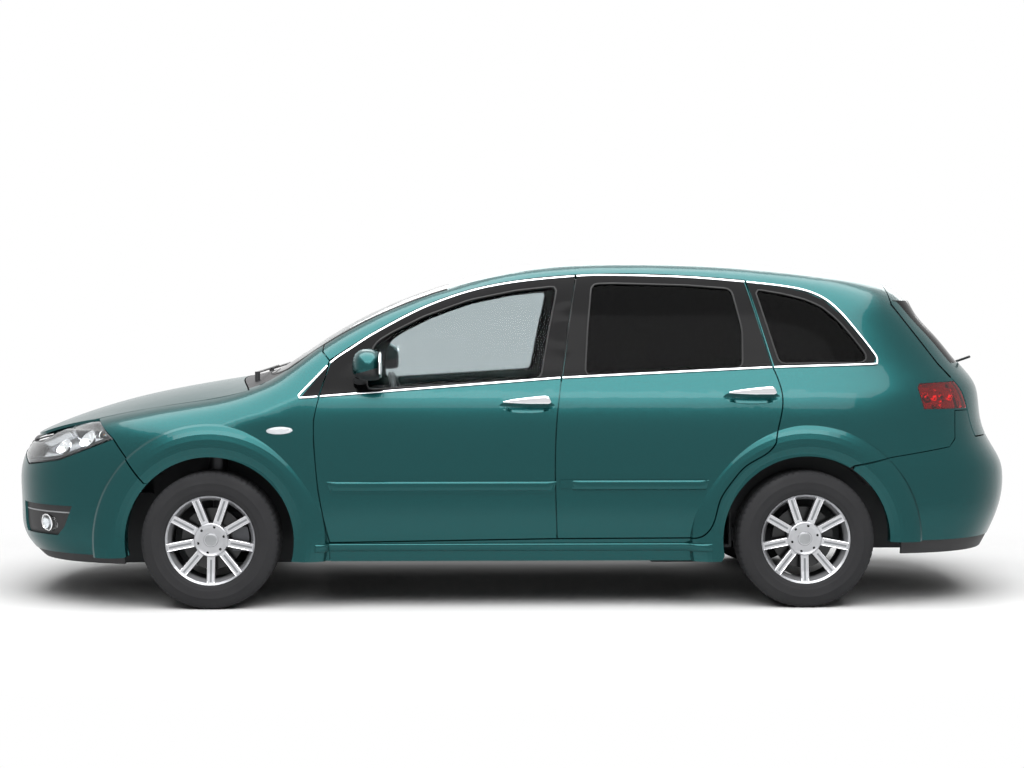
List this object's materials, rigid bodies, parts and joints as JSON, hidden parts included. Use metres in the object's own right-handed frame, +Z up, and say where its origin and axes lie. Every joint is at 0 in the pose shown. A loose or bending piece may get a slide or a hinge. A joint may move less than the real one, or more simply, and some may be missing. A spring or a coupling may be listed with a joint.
{
  "type": "station wagon",
  "caption": "Compact five-door estate car with a long roof, opening doors, bonnet and tailgate, steered front wheels and alloy rims.",
  "frame": {"origin": "on the ground, below the middle of the overall length and width", "axes": "nose towards -X, the car's right side towards +Y, +Z up"},
  "size_m": [4.7576, 2.02, 1.5972],
  "materials": {
    "paint": "teal metallic paint under clear lacquer",
    "underbody": "dark sealed steel",
    "black_plastic": "grained black plastic",
    "interior": "grained dark grey plastic",
    "cloth": "dark grey woven cloth",
    "clear_glass": "clear tinted glass",
    "privacy_glass": "dark privacy glass",
    "lens": "clear moulded lens",
    "red_lens": "red moulded lens",
    "chrome": "bright chrome",
    "alloy": "silver painted alloy",
    "tyre": "black tyre rubber",
    "steel": "bare and phosphated steel",
    "engine": "cast engine block and covers"
  },
  "bodies": {
    "body": {"body_side_left": "paint", "body_side_right": "paint", "dashboard": "interior", "engine": "engine", "exhaust": "steel", "floor": "underbody", "fog_lamps": "lens", "front_bumper": "paint", "front_grille": "black_plastic", "front_panel": "underbody", "front_seats": "cloth", "front_subframe": "steel", "front_wings": "paint", "fuel_tank": "black_plastic", "headlamps": "lens", "lower_skirts": "black_plastic", "quarter_windows": "privacy_glass", "rear_axle": "steel", "rear_bumper": "paint", "rear_seat": "cloth", "roof": "paint", "scuttle": "black_plastic", "side_indicators": "lens", "tail_lamps": "red_lens", "wheel_arch_liners": "black_plastic", "windscreen": "clear_glass", "wipers": "black_plastic"},
    "bonnet": {"bonnet": "paint"},
    "tailgate": {"tailgate": "paint", "rear_window": "privacy_glass", "rear_wiper": "black_plastic"},
    "front_left_door": {"front_left_door": "paint", "front_left_glass": "clear_glass", "front_left_handle": "chrome", "mirror_left": "paint"},
    "front_left_wheel": {"front_left_tyre": "tyre", "front_left_wheel": "alloy"},
    "front_right_door": {"front_right_door": "paint", "front_right_glass": "clear_glass", "front_right_handle": "chrome", "mirror_right": "paint"},
    "front_right_wheel": {"front_right_tyre": "tyre", "front_right_wheel": "alloy"},
    "rear_left_door": {"rear_left_door": "paint", "rear_left_glass": "privacy_glass", "rear_left_handle": "chrome"},
    "rear_left_wheel": {"rear_left_tyre": "tyre", "rear_left_wheel": "alloy"},
    "rear_right_door": {"rear_right_door": "paint", "rear_right_glass": "privacy_glass", "rear_right_handle": "chrome"},
    "rear_right_wheel": {"rear_right_tyre": "tyre", "rear_right_wheel": "alloy"},
    "fuel_flap": {"fuel_flap": "paint"},
    "knuckle_left": {"knuckle_left": "steel"},
    "knuckle_right": {"knuckle_right": "steel"},
    "steering_wheel": {"steering_wheel": "interior"}
  },
  "joints": [
    {"name": "bonnet_hinge", "type": "hinge", "parent": "body", "child": "bonnet", "pos_m": [-1.19, 0, 1.008], "axis": [0, 1, 0], "range_deg": [0, 50]},
    {"name": "tailgate_hinge", "type": "hinge", "parent": "body", "child": "tailgate", "pos_m": [1.7845, 0, 1.486], "axis": [0, -1, 0], "range_deg": [0, 80]},
    {"name": "front_left_door_hinge", "type": "hinge", "parent": "body", "child": "front_left_door", "pos_m": [-0.877, -0.868, 0.7], "axis": [0, 0, -1], "range_deg": [0, 65]},
    {"name": "front_right_door_hinge", "type": "hinge", "parent": "body", "child": "front_right_door", "pos_m": [-0.877, 0.868, 0.7], "axis": [0, 0, 1], "range_deg": [0, 65]},
    {"name": "rear_left_door_hinge", "type": "hinge", "parent": "body", "child": "rear_left_door", "pos_m": [0.2115, -0.868, 0.7], "axis": [0, 0, -1], "range_deg": [0, 65]},
    {"name": "rear_right_door_hinge", "type": "hinge", "parent": "body", "child": "rear_right_door", "pos_m": [0.2115, 0.868, 0.7], "axis": [0, 0, 1], "range_deg": [0, 65]},
    {"name": "fuel_flap_hinge", "type": "hinge", "parent": "body", "child": "fuel_flap", "pos_m": [1.494, 0.852, 0.93], "axis": [0, 0, 1], "range_deg": [0, 90]},
    {"name": "left_steer", "type": "hinge", "parent": "body", "child": "knuckle_left", "pos_m": [-1.378, -0.69, 0.312], "axis": [0, 0, 1], "range_deg": [-32, 32]},
    {"name": "right_steer", "type": "hinge", "parent": "body", "child": "knuckle_right", "pos_m": [-1.378, 0.69, 0.312], "axis": [0, 0, 1], "range_deg": [-32, 32]},
    {"name": "steering_wheel_turn", "type": "hinge", "parent": "body", "child": "steering_wheel", "pos_m": [-0.52211, -0.36, 0.87282], "axis": [0.9473, 0, 0.3204], "range_deg": [-480, 480]},
    {"name": "front_left_wheel_spin", "type": "hinge", "parent": "knuckle_left", "child": "front_left_wheel", "pos_m": [-1.378, -0.762, 0.312], "axis": [0, 1, 0], "continuous": true},
    {"name": "rear_left_wheel_spin", "type": "hinge", "parent": "body", "child": "rear_left_wheel", "pos_m": [1.322, -0.762, 0.312], "axis": [0, 1, 0], "continuous": true},
    {"name": "front_right_wheel_spin", "type": "hinge", "parent": "knuckle_right", "child": "front_right_wheel", "pos_m": [-1.378, 0.762, 0.312], "axis": [0, 1, 0], "continuous": true},
    {"name": "rear_right_wheel_spin", "type": "hinge", "parent": "body", "child": "rear_right_wheel", "pos_m": [1.322, 0.762, 0.312], "axis": [0, 1, 0], "continuous": true}
  ],
  "couplings": [
    {"joint": "right_steer", "follows": "left_steer", "ratio": 1},
    {"joint": "steering_wheel_turn", "follows": "left_steer", "ratio": 15}
  ]
}
